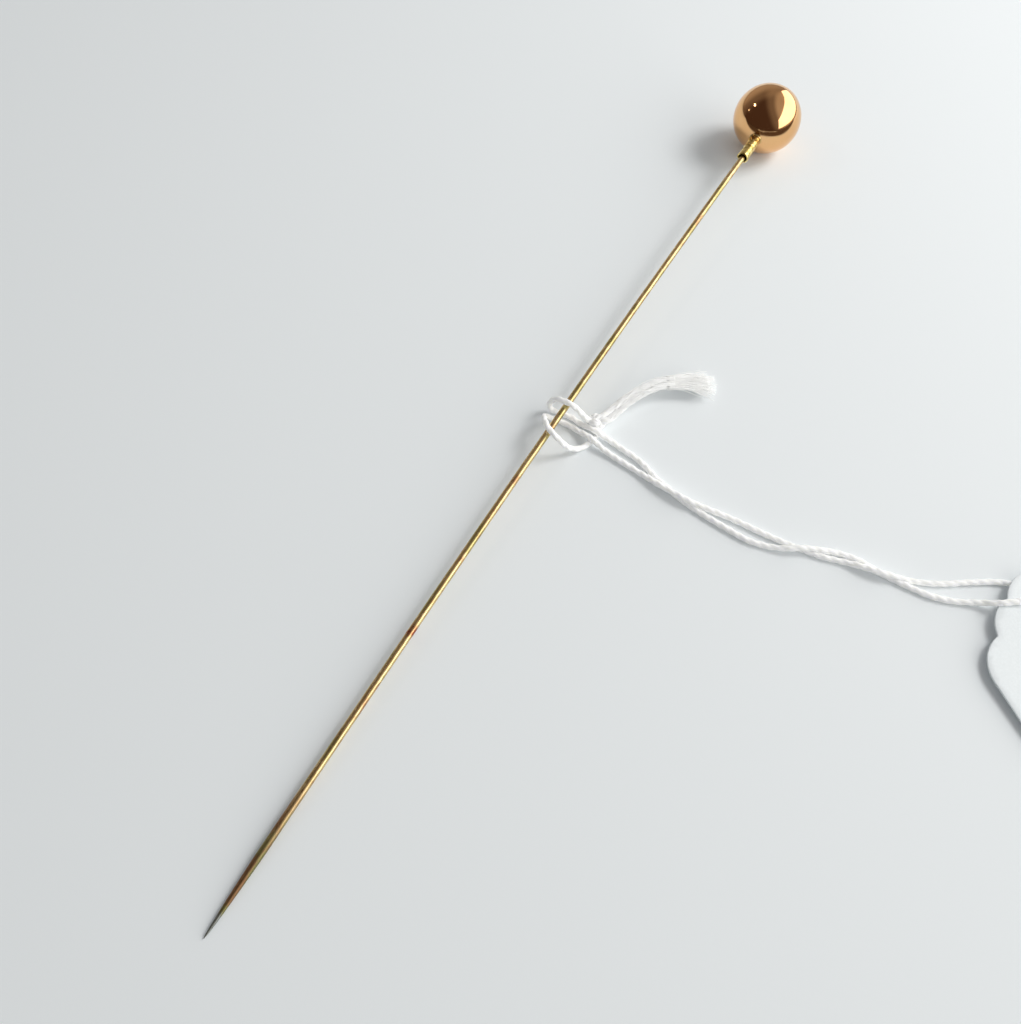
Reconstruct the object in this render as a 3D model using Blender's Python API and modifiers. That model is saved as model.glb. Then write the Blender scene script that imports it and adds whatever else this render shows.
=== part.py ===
"""A ball-headed hat pin lying on a table, with the string ticket that is tied round its stem.

The pin rests on its ball head and on the taper of its point, so its own axis leans a little.
World frame: +X from the point to the head, +Z up, the table at z = 0, and the origin on the table
under the middle of the pin's length.
"""

import math

import bmesh
import bpy
from mathutils import Matrix, Vector

MM = 0.001

# Driving dimensions, in millimetres.
HEAD_RADIUS = 6.35
HEAD_WALL = 0.3
POINT_TO_HEAD_CENTRE = 170.0
STEM_RADIUS = 0.56
POINT_RADIUS = 0.04
POINT_HEIGHT = 0.19
POINT_TAPER_LENGTH = 12.0
POINT_TAPER_POWER = 0.48
STEM_BOW = 0.52
STEM_SWEEP = 4
STEM_END_IN_HEAD = 3.2
COLLAR_RADIUS = 1.05
COLLAR_BORE_RADIUS = 0.82
COLLAR_MOUTH = 11.95
COLLAR_INNER_END = 4.9
COLLAR_EDGE = 0.05
COLLAR_OFFSET = -0.4
SEAM_BEAD_HEIGHT = 0.6
SEAM_BEAD_DEPTH = 0.22
SEAM_BEAD_SHOULDER = 0.7
FILLET_REACH = 1.34
FILLET_HEIGHT = 0.4
FILLET_SAG = 0.3
FILLET_STEPS = 5
POOL_RADIUS = 2.1
POOL_BELOW_STEM_END = 0.35
POOL_LIP = 0.12
POOL_DOME_POWER = 1.6
POOL_STEPS = 4
THREAD_RADIUS = 0.36
CARD_WIDTH = 28.0
CARD_LENGTH = 43.0
CARD_THICKNESS = 0.35
CARD_HOLE_RADIUS = 1.7
CARD_HOLE_FROM_TOP = 4.6
CARD_LIFT = 1.05
CARD_TURN = math.radians(-36.8)
CARD_TOP_MIDDLE = (14.76, -72.52)

# Clearance between pieces that touch on the real object, and how finely the curves are stepped.
FIT = 0.02
AXIS_MERGE = 0.000001
TURNED_STEPS = 40
ARC_STEPS = 12
CARD_ARC_STEPS = 8
CARD_HOLE_STEPS = 24
STEM_BEVEL = 6
TAPER_STEPS = 12
WIRE_STEPS = 26
KNOT_SEGMENTS = 20
KNOT_RINGS = 12
THREAD_BEVEL = 2
TURN_STEPS = 4
STRAND_STEPS = 3

# The pin leans by the height of its head's centre over the height of its point.
PIN_LEAN = math.asin((HEAD_RADIUS - POINT_HEIGHT) / POINT_TO_HEAD_CENTRE)
PIN_RUN = POINT_TO_HEAD_CENTRE * math.cos(PIN_LEAN)
HEAD_CENTRE_X = (PIN_RUN + HEAD_RADIUS) / 2 - HEAD_RADIUS
# The collar is soldered on a little to one side, so the head is turned to bring its hole there. The
# hole and the fillet leave room for the collar, which crosses them at that small angle.
HEAD_TURN = math.asin(-COLLAR_OFFSET / HEAD_RADIUS)
CROSSING_ROOM = FILLET_HEIGHT * math.tan(HEAD_TURN)

# The thread's route, in millimetres: a cow hitch round the stem whose two turns come back under it.
# The upper turn leaves the knot, passes over the stem and returns beneath it.
UPPER_TURN_ROUTE = [
    (5.42, -3.42, 1.75),
    (4.98, -1.80, 3.53),
    (4.86, -0.60, 4.45),
    (4.80, 0.60, 4.57),
    (5.00, 2.25, 3.92),
    (4.95, 3.45, 2.38),
    (4.75, 3.25, 0.95),
    (5.00, 1.75, 0.40),
    (5.28, -0.15, 0.40),
    (4.92, -2.10, 0.50),
]
# The lower turn is the same on the other side of the hitch, and enters the knot under the strands.
LOWER_TURN_ROUTE = [
    (5.30, -5.55, 0.62),
    (4.10, -5.75, 0.37),
    (2.30, -5.35, 0.37),
    (0.55, -4.60, 0.55),
    (-0.90, -3.30, 1.65),
    (-1.56, -1.72, 3.70),
    (-0.97, 0.42, 4.35),
    (0.55, 2.05, 3.70),
    (2.00, 2.85, 2.33),
    (3.05, 2.60, 1.00),
    (3.60, 1.20, 0.40),
    (3.68, -0.90, 0.40),
    (3.34, -3.00, 0.62),
]
# From the hitch the two strands run along the table, cross three times as they twist together, and
# part again at the ticket: one goes over the card and down through its hole, and comes back under
# it as the other.
STRAND_ROUTE = [
    (4.83, -2.75, 0.62),
    (4.45, -5.10, 1.18),
    (4.45, -7.60, 0.60),
    (4.20, -9.90, 0.37),
    (3.48, -13.90, 0.37),
    (1.77, -18.35, 0.37),
    (0.50, -22.85, 0.37),
    (-0.09, -26.25, 0.37),
    (-0.48, -30.20, 0.37),
    (-0.77, -34.70, 0.37),
    (-0.11, -38.10, 0.40),
    (0.73, -40.55, 0.85),
    (1.85, -42.50, 1.12),
    (3.19, -45.10, 0.80),
    (4.28, -47.70, 0.42),
    (4.68, -50.30, 0.37),
    (4.50, -52.75, 0.37),
    (4.37, -55.65, 0.37),
    (4.41, -58.75, 0.37),
    (4.65, -62.10, 0.37),
    (5.58, -65.30, 0.37),
    (7.08, -68.50, 0.70),
    (7.95, -70.85, 1.60),
    (9.61, -73.35, 1.85),
    (10.80, -75.30, 1.80),
    (11.60, -76.85, 1.68),
    (12.45, -77.05, 1.05),
    (13.05, -75.90, 0.42),
    (13.00, -73.40, 0.37),
    (12.32, -70.45, 0.37),
    (9.77, -66.20, 0.37),
    (7.24, -62.45, 0.37),
    (5.49, -58.70, 0.40),
    (4.59, -56.20, 0.88),
    (3.98, -54.00, 1.12),
    (3.72, -51.60, 0.85),
    (3.33, -48.90, 0.38),
    (2.53, -46.00, 0.37),
    (2.12, -43.40, 0.37),
    (1.78, -40.55, 0.37),
    (1.54, -36.50, 0.37),
    (1.42, -31.50, 0.37),
    (0.80, -26.80, 0.75),
    (0.43, -24.15, 1.10),
    (0.52, -21.85, 1.12),
    (0.86, -18.70, 0.88),
    (1.52, -14.90, 0.40),
    (1.97, -10.70, 0.40),
    (2.30, -8.00, 0.66),
    (2.85, -5.38, 1.18),
    (3.20, -3.70, 0.84),
]
LONG_TAIL_ROUTE = [
    (7.25, -5.05, 1.25),
    (9.30, -5.80, 0.85),
    (12.20, -6.70, 0.50),
    (15.00, -8.00, 0.38),
    (17.90, -9.80, 0.37),
    (20.20, -12.40, 0.37),
    (22.30, -15.20, 0.37),
    (24.30, -18.00, 0.37),
]
SHORT_TAIL_ROUTE = [
    (6.95, -6.05, 1.05),
    (8.90, -6.75, 0.60),
    (11.80, -7.60, 0.37),
    (14.50, -8.90, 0.37),
    (17.10, -10.70, 0.37),
    (19.30, -13.20, 0.37),
    (20.90, -16.00, 0.37),
    (21.90, -19.20, 0.37),
]
KNOT_CENTRE = (6.15, -4.60, 1.20)
KNOT_RADII = (1.15, 1.20, 0.95)

# Half of the card's top outline, across and down from the middle of its top edge: the cusp beside the
# bump over its hole, then each scallop's end and how far the scallop stands out of its chord.
CARD_BUMP_CORNER = (4.6, 2.5)
CARD_BUMP_RISE = 2.6
CARD_SCALLOPS = [((9.4, 6.95), 1.05), ((CARD_WIDTH / 2, 12.6), 1.25)]


def clear_scene():
    for obj in list(bpy.data.objects):
        bpy.data.objects.remove(obj, do_unlink=True)


def new_collection(name):
    collection = bpy.data.collections.new(name)
    bpy.context.scene.collection.children.link(collection)
    return collection


def material(name, colour, roughness, metallic):
    made = bpy.data.materials.new(name)
    made.use_nodes = True
    shader = made.node_tree.nodes["Principled BSDF"]
    shader.inputs["Base Color"].default_value = (*colour, 1.0)
    shader.inputs["Roughness"].default_value = roughness
    shader.inputs["Metallic"].default_value = metallic
    return made


def rose_gold():
    return material("rose_gold", (0.82, 0.47, 0.27), 0.08, 1.0)


def yellow_gold():
    return material("yellow_gold", (0.88, 0.66, 0.22), 0.28, 1.0)


def gilt_steel():
    return material("gilt_steel", (0.72, 0.52, 0.20), 0.25, 1.0)


def solder():
    return material("solder", (0.62, 0.50, 0.30), 0.45, 1.0)


def cotton():
    return material("cotton", (0.90, 0.90, 0.88), 0.9, 0.0)


def card_stock():
    return material("card_stock", (0.88, 0.90, 0.91), 0.7, 0.0)


def add_object(name, data, collection, finish, parent=None):
    obj = bpy.data.objects.new(name, data)
    collection.objects.link(obj)
    data.materials.append(finish)
    obj.parent = parent
    return obj


def axis_empty(name, side, turn, collection):
    """An empty beside the head's centre whose +Z points along the pin, away from its point."""
    axis = bpy.data.objects.new(name, None)
    axis.location = Vector((HEAD_CENTRE_X, side, HEAD_RADIUS)) * MM
    axis.rotation_euler = (-turn, math.pi / 2 - PIN_LEAN, 0)
    collection.objects.link(axis)
    return axis


def arc(radius, start, end, steps):
    """Points (r, z) on a circle round the head's centre, by angle up from its equator."""
    turns = [start + (end - start) * step / steps for step in range(steps + 1)]
    return [(radius * math.cos(turn), radius * math.sin(turn)) for turn in turns]


def turned(name, outline, collection, finish, parent):
    """A closed or axis-to-axis (r, z) outline, outer side downward, swept about the pin's axis."""
    mesh = bpy.data.meshes.new(name)
    shape = bmesh.new()
    points = [shape.verts.new((r * MM, 0, z * MM)) for r, z in outline]
    for first, second in zip(points, points[1:]):
        shape.edges.new((first, second))
    if outline[0][0] > 0:
        shape.edges.new((points[-1], points[0]))
    shape.to_mesh(mesh)
    shape.free()
    obj = add_object(name, mesh, collection, finish, parent)
    screw = obj.modifiers.new("turn", "SCREW")
    screw.axis = "Z"
    screw.angle = math.tau
    screw.steps = TURNED_STEPS
    screw.render_steps = TURNED_STEPS
    screw.use_merge_vertices = True
    screw.merge_threshold = AXIS_MERGE
    screw.use_smooth_shade = True
    return obj


def upper_shell(collection, finish, parent):
    """The plain half of the hollow head, from its far pole to the seam."""
    inner = HEAD_RADIUS - HEAD_WALL
    outline = arc(HEAD_RADIUS, math.pi / 2, 0, ARC_STEPS) + arc(inner, 0, math.pi / 2, ARC_STEPS)
    outline[0] = (0, HEAD_RADIUS)
    outline[-1] = (0, inner)
    raised = [(r, z + FIT / 2) for r, z in outline]
    return turned("head_shell_upper", raised, collection, finish, parent)


def lower_shell(collection, finish, parent):
    """The half of the head that is pierced for the collar."""
    inner = HEAD_RADIUS - HEAD_WALL
    hole = COLLAR_RADIUS + FIT + CROSSING_ROOM
    outer_stop = -math.acos(hole / HEAD_RADIUS)
    inner_stop = -math.acos(hole / inner)
    outline = arc(HEAD_RADIUS, 0, outer_stop, ARC_STEPS) + arc(inner, inner_stop, 0, ARC_STEPS)
    lowered = [(r, z - FIT / 2) for r, z in outline]
    return turned("head_shell_lower", lowered, collection, finish, parent)


def seam_solder(collection, finish, parent):
    """The bead of solder inside the head that joins its two shells."""
    outer = HEAD_RADIUS - HEAD_WALL - 2 * FIT
    outline = [
        (outer, SEAM_BEAD_HEIGHT / 2),
        (outer, -SEAM_BEAD_HEIGHT / 2),
        (outer - SEAM_BEAD_SHOULDER * SEAM_BEAD_DEPTH, -SEAM_BEAD_HEIGHT / 4),
        (outer - SEAM_BEAD_DEPTH, 0),
        (outer - SEAM_BEAD_SHOULDER * SEAM_BEAD_DEPTH, SEAM_BEAD_HEIGHT / 4),
    ]
    return turned("seam_solder", outline, collection, finish, parent)


def collar(collection, finish, parent):
    """The tube that holds the stem, from inside the head to its flat mouth."""
    outline = [
        (COLLAR_RADIUS - COLLAR_EDGE, -COLLAR_INNER_END),
        (COLLAR_RADIUS, -COLLAR_INNER_END - COLLAR_EDGE),
        (COLLAR_RADIUS, -COLLAR_MOUTH + COLLAR_EDGE),
        (COLLAR_RADIUS - COLLAR_EDGE, -COLLAR_MOUTH),
        (COLLAR_BORE_RADIUS, -COLLAR_MOUTH),
        (COLLAR_BORE_RADIUS, -COLLAR_INNER_END),
    ]
    return turned("collar", outline, collection, finish, parent)


def on_sphere(radius, r):
    """The height of the lower half of a sphere at a distance from the pin's axis."""
    return -math.sqrt(radius**2 - r**2)


def head_solder(collection, finish, parent):
    """The fillet round the collar's root, on the outside of the head."""
    inside = COLLAR_RADIUS + FIT + CROSSING_ROOM
    across = FILLET_REACH - inside
    seat = HEAD_RADIUS + 2 * FIT
    rim_z = on_sphere(seat, FILLET_REACH)
    drop = -HEAD_RADIUS - FILLET_HEIGHT
    bed = []
    for step in range(FILLET_STEPS + 1):
        r = inside + across * step / FILLET_STEPS
        bed.append((r, on_sphere(seat, r)))
    hollow = []
    for step in range(1, FILLET_STEPS):
        share = step / FILLET_STEPS
        sag = FILLET_SAG * math.sin(math.pi * share) * across
        r = FILLET_REACH - across * share - sag
        z = rim_z + (drop - rim_z) * share + sag / 2
        hollow.append((max(r, inside + FIT), z))
    outline = bed + hollow + [(inside, drop)]
    return turned("head_solder", outline, collection, finish, parent)


def stem_solder(collection, finish, parent):
    """The pool of solder inside the head round the collar's end and the stem."""
    stem_side = STEM_RADIUS + FIT
    collar_side = COLLAR_RADIUS + FIT
    crown = -STEM_END_IN_HEAD - POOL_BELOW_STEM_END
    inner = HEAD_RADIUS - HEAD_WALL - 2 * FIT
    side = abs(COLLAR_OFFSET)
    brim_z = on_sphere(inner, POOL_RADIUS + side)
    dome = []
    for step in range(POOL_STEPS + 1):
        share = step / POOL_STEPS
        r = stem_side + POOL_LIP + (POOL_RADIUS - stem_side - POOL_LIP) * share
        z = crown - POOL_LIP + (brim_z - crown + POOL_LIP) * share**POOL_DOME_POWER
        dome.append((r, z))
    bed = []
    for step in range(1, POOL_STEPS + 1):
        r = POOL_RADIUS + (collar_side - POOL_RADIUS) * step / POOL_STEPS
        bed.append((r, on_sphere(inner, r + side)))
    shelf = -COLLAR_INNER_END + FIT
    outline = [(stem_side, crown)] + dome + bed + [(collar_side, shelf), (stem_side, shelf)]
    return turned("stem_solder", outline, collection, finish, parent)


def stem_radius(from_point):
    """The stem's radius at a distance from its point: a ground taper, then plain wire."""
    if from_point >= POINT_TAPER_LENGTH:
        return STEM_RADIUS
    share = (from_point / POINT_TAPER_LENGTH) ** POINT_TAPER_POWER
    return max(POINT_RADIUS, STEM_RADIUS * share)


def stem_stations():
    """Distances from the point: close together on the taper, even along the wire."""
    end = POINT_TO_HEAD_CENTRE - STEM_END_IN_HEAD
    taper = [POINT_TAPER_LENGTH * (step / TAPER_STEPS) ** 2 for step in range(TAPER_STEPS)]
    run = end - POINT_TAPER_LENGTH
    wire = [POINT_TAPER_LENGTH + run * step / WIRE_STEPS for step in range(WIRE_STEPS + 1)]
    return taper + wire


def stem(collection, finish, parent):
    """The wire, with a slight bow between its point, on the head's own line, and the collar."""
    free_length = POINT_TO_HEAD_CENTRE - COLLAR_MOUTH
    points = []
    radii = []
    for station in stem_stations():
        share = min(station / free_length, 1.0)
        side = STEM_BOW * math.sin(math.pi * share) + COLLAR_OFFSET * (share**STEM_SWEEP - 1)
        points.append((0, side, station - POINT_TO_HEAD_CENTRE))
        radii.append(stem_radius(station) / STEM_RADIUS)
    obj = tube("stem", points, STEM_RADIUS, STEM_BEVEL, collection, finish, radii)
    obj.parent = parent
    return obj


def tube(name, points, radius, bevel_resolution, collection, finish, radii=None):
    curve = bpy.data.curves.new(name, "CURVE")
    curve.dimensions = "3D"
    curve.bevel_depth = radius * MM
    curve.bevel_resolution = bevel_resolution
    curve.use_fill_caps = True
    spline = curve.splines.new("POLY")
    spline.points.add(len(points) - 1)
    for index, point in enumerate(points):
        spline.points[index].co = (*(Vector(point) * MM), 1.0)
        spline.points[index].radius = radii[index] if radii else 1.0
    return add_object(name, curve, collection, finish)


def smooth_route(route, steps):
    """Points on a smooth curve through the route's own points, a few to each stretch."""
    knots = [Vector(point) for point in route]
    ends = [2 * knots[0] - knots[1]] + knots + [2 * knots[-1] - knots[-2]]
    points = []
    for before, start, end, after in zip(ends, ends[1:], ends[2:], ends[3:]):
        into = (end - before) / 2
        out = (after - start) / 2
        for step in range(steps):
            t = step / steps
            points.append(
                start * (2 * t**3 - 3 * t**2 + 1)
                + into * (t**3 - 2 * t**2 + t)
                + end * (3 * t**2 - 2 * t**3)
                + out * (t**3 - t**2)
            )
    return points + [knots[-1]]


def thread(name, route, steps, collection, finish):
    return tube(name, smooth_route(route, steps), THREAD_RADIUS, THREAD_BEVEL, collection, finish)


def knot(collection, finish):
    """The overhand knot that closes the thread, as one plain lump."""
    mesh = bpy.data.meshes.new("ticket_knot")
    shape = bmesh.new()
    bmesh.ops.create_uvsphere(shape, u_segments=KNOT_SEGMENTS, v_segments=KNOT_RINGS, radius=MM)
    place = Matrix.Translation(Vector(KNOT_CENTRE) * MM)
    size = Matrix.Diagonal((*KNOT_RADII, 1.0))
    bmesh.ops.transform(shape, matrix=place @ size, verts=shape.verts)
    shape.to_mesh(mesh)
    shape.free()
    mesh.shade_smooth()
    return add_object("ticket_knot", mesh, collection, finish)


def bulge(start, end, rise, steps):
    """Points along an arc from start to end that stands out to the left of its chord."""
    start = Vector(start)
    end = Vector(end)
    chord = end - start
    if rise == 0:
        return [start]
    half = chord.length / 2
    radius = (half**2 + rise**2) / (2 * rise)
    left = Vector((-chord.y, chord.x)).normalized()
    centre = (start + end) / 2 - left * (radius - rise)
    sweep = 2 * math.asin(half / radius)
    points = []
    for step in range(steps):
        turned_by = Matrix.Rotation(-sweep * step / steps, 2)
        points.append(centre + turned_by @ (start - centre))
    return points


def card_outline():
    """The ticket's scalloped edge, clockwise from the bump over its hole; its top edge is y = 0."""
    corners = [CARD_BUMP_CORNER] + [corner for corner, _ in CARD_SCALLOPS]
    rises = [rise for _, rise in CARD_SCALLOPS]
    top_right = [(x, -y) for x, y in corners]
    bottom_right = [(x, y - CARD_LENGTH) for x, y in reversed(corners)]
    right = top_right + bottom_right
    left = [(-x, y) for x, y in reversed(right)]
    right_rises = rises + [0] + rises[::-1]
    loop = right + left
    loop_rises = right_rises + [CARD_BUMP_RISE] + right_rises + [CARD_BUMP_RISE]
    points = []
    for index, corner in enumerate(loop):
        following = loop[(index + 1) % len(loop)]
        points += bulge(corner, following, loop_rises[index], CARD_ARC_STEPS)
    return points


def card(collection, finish):
    """The ticket: flat card with a punched hole, tipped up where the thread runs under it."""
    curve = bpy.data.curves.new("ticket_card", "CURVE")
    curve.dimensions = "2D"
    curve.fill_mode = "BOTH"
    curve.extrude = CARD_THICKNESS / 2 * MM
    hole = []
    for step in range(CARD_HOLE_STEPS):
        turn = math.tau * step / CARD_HOLE_STEPS
        x = CARD_HOLE_RADIUS * math.cos(turn)
        y = CARD_HOLE_RADIUS * math.sin(turn) - CARD_HOLE_FROM_TOP
        hole.append(Vector((x, y)))
    for outline in (card_outline(), hole):
        spline = curve.splines.new("POLY")
        spline.use_cyclic_u = True
        spline.points.add(len(outline) - 1)
        for point, place in zip(spline.points, outline):
            point.co = (place.x * MM, place.y * MM, 0, 1)
    obj = add_object("ticket_card", curve, collection, finish)
    tip = math.asin(CARD_LIFT / CARD_LENGTH)
    height = CARD_LIFT + CARD_THICKNESS / 2
    obj.rotation_euler = (tip, 0, CARD_TURN)
    obj.location = Vector((*CARD_TOP_MIDDLE, height)) * MM
    return obj


def build():
    clear_scene()
    parts = new_collection("hat_pin")
    axis = axis_empty("pin_axis", COLLAR_OFFSET, 0, parts)
    head = axis_empty("head_axis", 0, HEAD_TURN, parts)
    rose = rose_gold()
    filler = solder()
    white = cotton()
    stem(parts, gilt_steel(), axis)
    collar(parts, yellow_gold(), axis)
    lower_shell(parts, rose, head)
    upper_shell(parts, rose, head)
    seam_solder(parts, filler, head)
    head_solder(parts, filler, head)
    stem_solder(parts, filler, axis)
    thread("hitch_turn_upper", UPPER_TURN_ROUTE, TURN_STEPS, parts, white)
    thread("hitch_turn_lower", LOWER_TURN_ROUTE, TURN_STEPS, parts, white)
    thread("ticket_string", STRAND_ROUTE, STRAND_STEPS, parts, white)
    thread("ticket_tail_long", LONG_TAIL_ROUTE, STRAND_STEPS, parts, white)
    thread("ticket_tail_short", SHORT_TAIL_ROUTE, STRAND_STEPS, parts, white)
    knot(parts, white)
    card(parts, card_stock())


build()
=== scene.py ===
"""The hat pin as it looks: polished rose-gold ball, hammered collar, gilt steel stem, and the
scalloped sale ticket that is tied round the stem with two-ply cotton thread.

Lengths are in millimetres in the object's own frame until a mesh is made, and in metres after
that. The camera, the floor and the lights are in metres throughout.
"""

import math
import random

import bmesh
import bpy
import numpy as np
from mathutils import Euler, Matrix, Vector, noise


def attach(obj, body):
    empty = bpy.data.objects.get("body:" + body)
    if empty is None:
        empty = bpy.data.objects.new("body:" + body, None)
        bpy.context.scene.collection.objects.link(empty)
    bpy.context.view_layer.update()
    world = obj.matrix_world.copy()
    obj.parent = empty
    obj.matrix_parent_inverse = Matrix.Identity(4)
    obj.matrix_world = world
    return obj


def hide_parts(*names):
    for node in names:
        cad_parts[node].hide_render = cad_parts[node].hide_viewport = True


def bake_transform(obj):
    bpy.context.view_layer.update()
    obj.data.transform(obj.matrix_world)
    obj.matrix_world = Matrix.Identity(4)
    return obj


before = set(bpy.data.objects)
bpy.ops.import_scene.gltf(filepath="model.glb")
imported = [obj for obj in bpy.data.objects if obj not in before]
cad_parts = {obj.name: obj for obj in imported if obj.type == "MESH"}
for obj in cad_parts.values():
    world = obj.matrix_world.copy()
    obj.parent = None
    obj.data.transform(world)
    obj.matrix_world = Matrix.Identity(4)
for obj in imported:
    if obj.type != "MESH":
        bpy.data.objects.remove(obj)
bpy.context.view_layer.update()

MM = 0.001

# The dimensions of the pin and of the ticket's card, as the CAD has them.
HEAD_RADIUS = 6.35
HEAD_WALL = 0.3
POINT_TO_HEAD_CENTRE = 170.0
STEM_RADIUS = 0.56
POINT_RADIUS = 0.04
POINT_HEIGHT = 0.19
POINT_TAPER_LENGTH = 12.0
POINT_TAPER_POWER = 0.48
STEM_BOW = 0.52
STEM_SWEEP = 4
STEM_END_IN_HEAD = 3.2
COLLAR_RADIUS = 1.05
COLLAR_BORE_RADIUS = 0.82
COLLAR_MOUTH = 11.95
COLLAR_INNER_END = 4.9
COLLAR_OFFSET = -0.4
FILLET_REACH = 1.34
FILLET_HEIGHT = 0.4
CARD_WIDTH = 28.0
CARD_LENGTH = 43.0
CARD_THICKNESS = 0.35
CARD_HOLE_RADIUS = 1.7
CARD_HOLE_FROM_TOP = 4.6
CARD_LIFT = 1.05
CARD_TURN = math.radians(-36.8)
CARD_TOP_MIDDLE = (14.76, -72.52)
CARD_BUMP_CORNER = (4.6, 2.5)
CARD_BUMP_RISE = 2.6
CARD_SCALLOPS = [((9.4, 6.95), 1.05), ((CARD_WIDTH / 2, 12.6), 1.25)]

PIN_LEAN = math.asin((HEAD_RADIUS - POINT_HEIGHT) / POINT_TO_HEAD_CENTRE)
PIN_RUN = POINT_TO_HEAD_CENTRE * math.cos(PIN_LEAN)
HEAD_CENTRE_X = (PIN_RUN + HEAD_RADIUS) / 2 - HEAD_RADIUS
HEAD_TURN = math.asin(-COLLAR_OFFSET / HEAD_RADIUS)

# The thread's routes, as the CAD has them: a list for each stretch of it.
UPPER_TURN_ROUTE = [
    (5.42, -3.42, 1.75), (4.98, -1.80, 3.53), (4.86, -0.60, 4.45), (4.80, 0.60, 4.57),
    (5.00, 2.25, 3.92), (4.95, 3.45, 2.38), (4.75, 3.25, 0.95), (5.00, 1.75, 0.40),
    (5.28, -0.15, 0.40), (4.92, -2.10, 0.50),
]
LOWER_TURN_ROUTE = [
    (5.30, -5.55, 0.62), (4.10, -5.75, 0.37), (2.30, -5.35, 0.37), (0.55, -4.60, 0.55),
    (-0.90, -3.30, 1.65), (-1.56, -1.72, 3.70), (-0.97, 0.42, 4.35), (0.55, 2.05, 3.70),
    (2.00, 2.85, 2.33), (3.05, 2.60, 1.00), (3.60, 1.20, 0.40), (3.68, -0.90, 0.40),
    (3.34, -3.00, 0.62),
]
STRAND_ROUTE = [
    (4.83, -2.75, 0.62), (4.45, -5.10, 1.18), (4.45, -7.60, 0.60), (4.20, -9.90, 0.37),
    (3.48, -13.90, 0.37), (1.77, -18.35, 0.37), (0.50, -22.85, 0.37), (-0.09, -26.25, 0.37),
    (-0.48, -30.20, 0.37), (-0.77, -34.70, 0.37), (-0.11, -38.10, 0.40), (0.73, -40.55, 0.85),
    (1.85, -42.50, 1.12), (3.19, -45.10, 0.80), (4.28, -47.70, 0.42), (4.68, -50.30, 0.37),
    (4.50, -52.75, 0.37), (4.37, -55.65, 0.37), (4.41, -58.75, 0.37), (4.65, -62.10, 0.37),
    (5.58, -65.30, 0.37), (7.08, -68.50, 0.70), (7.95, -70.85, 1.60), (9.61, -73.35, 1.85),
    (10.80, -75.30, 1.80), (11.60, -76.85, 1.68), (12.45, -77.05, 1.05), (13.05, -75.90, 0.42),
    (13.00, -73.40, 0.37), (12.32, -70.45, 0.37), (9.77, -66.20, 0.37), (7.24, -62.45, 0.37),
    (5.49, -58.70, 0.40), (4.59, -56.20, 0.88), (3.98, -54.00, 1.12), (3.72, -51.60, 0.85),
    (3.33, -48.90, 0.38), (2.53, -46.00, 0.37), (2.12, -43.40, 0.37), (1.78, -40.55, 0.37),
    (1.54, -36.50, 0.37), (1.42, -31.50, 0.37), (0.80, -26.80, 0.75), (0.43, -24.15, 1.10),
    (0.52, -21.85, 1.12), (0.86, -18.70, 0.88), (1.52, -14.90, 0.40), (1.97, -10.70, 0.40),
    (2.30, -8.00, 0.66), (2.85, -5.38, 1.18), (3.20, -3.70, 0.84),
]
LONG_TAIL_ROUTE = [
    (7.25, -5.05, 1.25), (9.30, -5.80, 0.85), (12.20, -6.70, 0.50), (15.00, -8.00, 0.38),
    (17.90, -9.80, 0.37), (20.20, -12.40, 0.37), (22.30, -15.20, 0.37), (24.30, -18.00, 0.37),
]
SHORT_TAIL_ROUTE = [
    (6.95, -6.05, 1.05), (8.90, -6.75, 0.60), (11.80, -7.60, 0.37), (14.50, -8.90, 0.37),
    (17.10, -10.70, 0.37), (19.30, -13.20, 0.37), (20.90, -16.00, 0.37), (21.90, -19.20, 0.37),
]
KNOT_CENTRE = (6.15, -4.60, 1.20)

# Where the thread comes out of the knot, and where it goes back in.
KNOT_EXIT = (5.90, -4.20, 1.45)
KNOT_ENTRY = (5.85, -5.05, 0.95)


# ---------------------------------------------------------------- camera, floor and light

CAMERA_PLACE = (-0.083536, -0.042125, 0.138)
CAMERA_RIGHT = (0.5166, -0.8562, 0.0)
CAMERA_UP = (0.7415, 0.4474, 0.5)
CAMERA_FORWARD = (0.4281, 0.2583, -0.8660)
CAMERA_LENS = 35.895
CAMERA_SHIFT = (0.0009, 0.0010)


def make_camera():
    """The photograph's camera: it looks down at the pin from beside its point."""
    data = bpy.data.cameras.new("camera")
    data.lens = CAMERA_LENS
    data.sensor_width = 36.0
    data.shift_x, data.shift_y = CAMERA_SHIFT
    data.clip_start = 0.005
    data.clip_end = 20.0
    camera = bpy.data.objects.new("camera", data)
    bpy.context.scene.collection.objects.link(camera)
    back = -Vector(CAMERA_FORWARD)
    columns = (Vector(CAMERA_RIGHT), Vector(CAMERA_UP), back, Vector(CAMERA_PLACE))
    rows = [[column[row] for column in columns] for row in range(3)]
    camera.matrix_world = Matrix(rows + [[0, 0, 0, 1]])
    bpy.context.scene.camera = camera


def node(tree, kind, **inputs):
    """A new node with its named sockets set, or linked when the value is a socket."""
    made = tree.nodes.new(kind)
    for name, value in inputs.items():
        plug(tree, made, name.replace("_", " "), value)
    return made


def plug(tree, made, name, value):
    """Sets the socket of this name or number, or links it when the value is a socket."""
    socket = made.inputs[int(name)] if name.isdigit() else made.inputs[name]
    if isinstance(value, bpy.types.NodeSocket):
        tree.links.new(value, socket)
    else:
        socket.default_value = value


def maths(tree, operation, *values):
    """The result of a node that works on numbers."""
    made = tree.nodes.new("ShaderNodeMath")
    made.operation = operation
    for index, value in enumerate(values):
        plug(tree, made, str(index), value)
    return made.outputs[0]


def vector_maths(tree, operation, *values):
    """The result of a node that works on vectors."""
    made = tree.nodes.new("ShaderNodeVectorMath")
    made.operation = operation
    for index, value in enumerate(values):
        plug(tree, made, str(index), value)
    return made.outputs["Value"] if operation == "DOT_PRODUCT" else made.outputs[0]


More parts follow.
